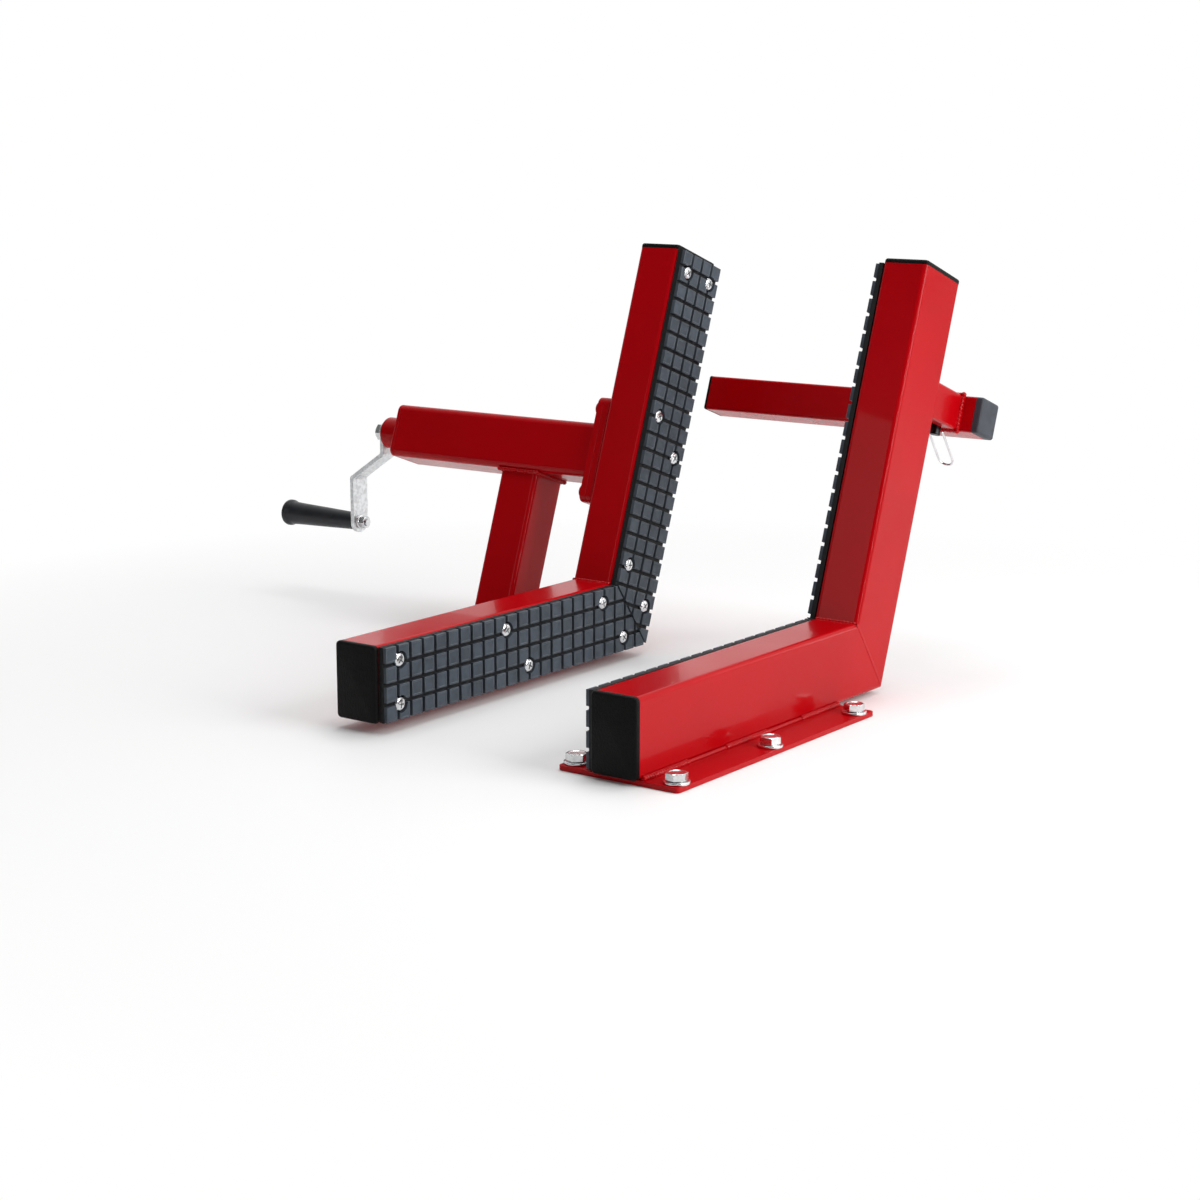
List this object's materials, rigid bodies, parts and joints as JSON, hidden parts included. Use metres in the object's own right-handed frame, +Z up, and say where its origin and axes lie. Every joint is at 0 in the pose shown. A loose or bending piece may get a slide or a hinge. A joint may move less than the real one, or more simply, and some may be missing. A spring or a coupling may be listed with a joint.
{
  "type": "motorcycle lift wheel vise",
  "caption": "Front-wheel vise for a lift deck: two L-shaped padded jaws, one bolted down and one driven across by a crank and screw, with a sliding wheel stop bar.",
  "frame": {"origin": "middle of the fixed jaw's six-bolt pattern, on the deck (underside of the base plate)", "axes": "+X across the deck from the crank to the fixed jaw, +Y the way the wheel rolls in, +Z up"},
  "size_m": [0.8836, 0.6306, 0.4542],
  "materials": {
    "red_paint": "gloss",
    "rubber": "matt",
    "black_plastic": "pebbled",
    "grip_plastic": "satin",
    "zinc": "zinc plated",
    "machined_steel": "oiled",
    "black_steel": "satin"
  },
  "bodies": {
    "frame": {"base_bolt_1": "zinc", "base_bolt_2": "zinc", "base_bolt_3": "zinc", "base_bolt_4": "zinc", "base_bolt_5": "zinc", "base_bolt_6": "zinc", "base_washers": "zinc", "bearing_boss": "red_paint", "fixed_arm_cap": "black_plastic", "fixed_arm_weld": "red_paint", "fixed_base_plate": "red_paint", "fixed_lower_arm": "red_paint", "fixed_lower_pad": "rubber", "fixed_lower_pad_screws": "zinc", "fixed_top_cap": "black_plastic", "fixed_upright": "red_paint", "fixed_upright_pad": "rubber", "fixed_upright_pad_screws": "zinc", "housing_end_plate": "red_paint", "housing_tube": "red_paint", "post_base_plate": "red_paint", "post_bolts": "zinc", "post_tube": "red_paint", "post_washers": "zinc", "post_weld": "red_paint", "stop_tongue": "red_paint"},
    "moving_jaw": {"drive_nut": "machined_steel", "flange_bolt_1": "red_paint", "flange_bolt_2": "red_paint", "flange_bolt_3": "red_paint", "flange_bolt_4": "red_paint", "jaw_plate": "red_paint", "moving_arm_cap": "black_plastic", "moving_lower_arm": "red_paint", "moving_lower_pad": "rubber", "moving_lower_pad_screws": "zinc", "moving_top_cap": "black_plastic", "moving_upright": "red_paint", "moving_upright_pad": "rubber", "moving_upright_pad_screws": "zinc", "slide_flange": "red_paint", "slide_tube": "red_paint"},
    "crank": {"lead_screw": "machined_steel", "crank_arm": "zinc", "crank_washer": "zinc", "crank_nut": "zinc", "handle_bolt_shaft": "zinc", "handle_washer": "zinc", "handle_nut": "zinc"},
    "grip": {"handle_grip": "grip_plastic"},
    "wheel_stop": {"stop_slider": "red_paint", "stop_crossbar": "red_paint", "stop_left_cap": "black_plastic", "stop_right_cap": "black_plastic", "stop_weld": "red_paint"},
    "hitch_pin": {"hitch_pin_shaft": "black_steel"},
    "clip": {"pin_clip": "zinc"}
  },
  "joints": [
    {"name": "crank_turn", "type": "hinge", "parent": "frame", "child": "crank", "pos_m": [-0.655, 0.28625, 0.20634], "axis": [1, 0, 0], "range_deg": [0, 16020]},
    {"name": "jaw_slide", "type": "slide", "parent": "frame", "child": "moving_jaw", "axis": [1, 0, 0], "range_m": [0, 0.178]},
    {"name": "grip_spin", "type": "hinge", "parent": "crank", "child": "grip", "pos_m": [-0.76, 0.28625, 0.09634], "axis": [1, 0, 0], "continuous": true},
    {"name": "wheel_stop_slide", "type": "slide", "parent": "frame", "child": "wheel_stop", "axis": [0, 0.9426, -0.3338], "range_m": [0, 0.035]},
    {"name": "pin_pull", "type": "slide", "parent": "frame", "child": "hitch_pin", "axis": [0, -0.3338, -0.9426], "range_m": [0, 0.04]},
    {"name": "clip_hinge", "type": "hinge", "parent": "hitch_pin", "child": "clip", "pos_m": [0, 0.39876, 0.24795], "axis": [1, 0, 0], "range_deg": [-130, 30]}
  ],
  "couplings": [
    {"joint": "jaw_slide", "follows": "crank_turn", "m_per_rad": 0.00063662}
  ]
}
